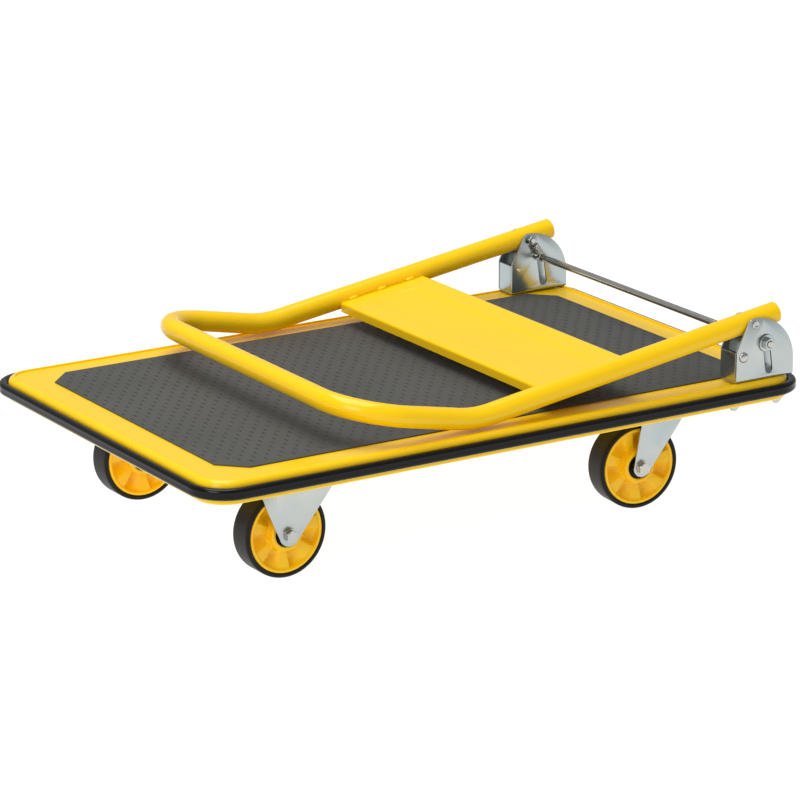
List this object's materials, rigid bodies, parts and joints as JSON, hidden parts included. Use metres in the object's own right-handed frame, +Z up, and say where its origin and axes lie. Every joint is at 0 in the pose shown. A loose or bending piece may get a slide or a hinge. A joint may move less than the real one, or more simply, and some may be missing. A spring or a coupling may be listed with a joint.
{
  "type": "folding platform cart",
  "caption": "Folding platform cart: pressed steel deck with a rubber edge strip and mat, rigid and swivel casters, and a bent tube handle folded down over the deck.",
  "frame": {"origin": "on the floor under the middle of the deck, at the centre of the overall box's bottom", "axes": "+X along the deck towards the handle's hinge, +Y across the deck, +Z up"},
  "size_m": [0.788, 0.514, 0.2303],
  "materials": {
    "yellow_paint": "gloss",
    "mat_rubber": "matte",
    "bumper_rubber": "satin",
    "tyre_rubber": "satin",
    "hub_plastic": "satin",
    "zinc": "satin",
    "steel": "satin",
    "plug_plastic": "matte"
  },
  "bodies": {
    "base": {"deck": "yellow_paint", "front_cross_channel": "yellow_paint", "rear_cross_channel": "yellow_paint", "anti_slip_mat": "mat_rubber", "edge_bumper": "bumper_rubber", "front_left_axle_bush": "steel", "front_left_axle_bolt": "zinc", "front_left_axle_nut": "zinc", "front_left_fork": "zinc", "front_right_axle_bush": "steel", "front_right_axle_bolt": "zinc", "front_right_axle_nut": "zinc", "front_right_fork": "zinc", "rear_left_swivel_plate": "zinc", "rear_left_ball_race": "zinc", "rear_left_kingpin": "steel", "left_hinge_bracket": "zinc", "left_pivot_pin": "steel", "left_stop_pin": "steel", "left_bracket_bolt_1": "zinc", "left_dome_nut_1": "zinc", "left_bracket_bolt_2": "zinc", "left_dome_nut_2": "zinc", "left_latch_spring": "steel", "rear_right_swivel_plate": "zinc", "rear_right_ball_race": "zinc", "rear_right_kingpin": "steel", "right_hinge_bracket": "zinc", "right_pivot_pin": "steel", "right_stop_pin": "steel", "right_bracket_bolt_1": "zinc", "right_dome_nut_1": "zinc", "right_bracket_bolt_2": "zinc", "right_dome_nut_2": "zinc", "right_latch_spring": "steel"},
    "handle": {"handle_tube": "yellow_paint", "handle_panel": "yellow_paint", "left_tube_plug": "plug_plastic", "right_tube_plug": "plug_plastic"},
    "lock": {"lock_bar": "steel", "left_lock_washer": "zinc", "right_lock_washer": "zinc", "left_lock_nut": "zinc", "right_lock_nut": "zinc"},
    "rear_left_swivel": {"rear_left_fork": "zinc", "rear_left_axle_bush": "steel", "rear_left_axle_bolt": "zinc", "rear_left_axle_nut": "zinc"},
    "rear_right_swivel": {"rear_right_fork": "zinc", "rear_right_axle_bush": "steel", "rear_right_axle_bolt": "zinc", "rear_right_axle_nut": "zinc"},
    "front_left_wheel": {"front_left_hub": "hub_plastic", "front_left_tyre": "tyre_rubber"},
    "front_right_wheel": {"front_right_hub": "hub_plastic", "front_right_tyre": "tyre_rubber"},
    "rear_left_wheel": {"rear_left_hub": "hub_plastic", "rear_left_tyre": "tyre_rubber"},
    "rear_right_wheel": {"rear_right_hub": "hub_plastic", "rear_right_tyre": "tyre_rubber"}
  },
  "joints": [
    {"name": "handle_fold", "type": "hinge", "parent": "base", "child": "handle", "pos_m": [0.3229, 0, 0.2125], "axis": [0, 1, 0], "range_deg": [0, 98.4]},
    {"name": "lock_slide", "type": "slide", "parent": "base", "child": "lock", "axis": [0.1478, 0, -0.989], "range_m": [0, 0.0315], "deforming": ["left_latch_spring", "right_latch_spring"]},
    {"name": "front_left_roll", "type": "hinge", "parent": "base", "child": "front_left_wheel", "pos_m": [-0.252, -0.159, 0.05], "axis": [0, 1, 0], "continuous": true},
    {"name": "front_right_roll", "type": "hinge", "parent": "base", "child": "front_right_wheel", "pos_m": [-0.252, 0.159, 0.05], "axis": [0, 1, 0], "continuous": true},
    {"name": "rear_left_swivel_turn", "type": "hinge", "parent": "base", "child": "rear_left_swivel", "pos_m": [0.239, -0.171, 0.1], "axis": [0, 0, 1], "continuous": true},
    {"name": "rear_left_roll", "type": "hinge", "parent": "rear_left_swivel", "child": "rear_left_wheel", "pos_m": [0.20812, -0.1683, 0.05], "axis": [0.0872, 0.9962, 0], "continuous": true},
    {"name": "rear_right_swivel_turn", "type": "hinge", "parent": "base", "child": "rear_right_swivel", "pos_m": [0.239, 0.171, 0.1], "axis": [0, 0, 1], "continuous": true},
    {"name": "rear_right_roll", "type": "hinge", "parent": "rear_right_swivel", "child": "rear_right_wheel", "pos_m": [0.20812, 0.1737, 0.05], "axis": [0.0872, 0.9962, 0], "continuous": true}
  ],
  "couplings": [
    {"joint": "lock_slide", "follows": "handle_fold", "m_per_rad": 0.01834}
  ]
}
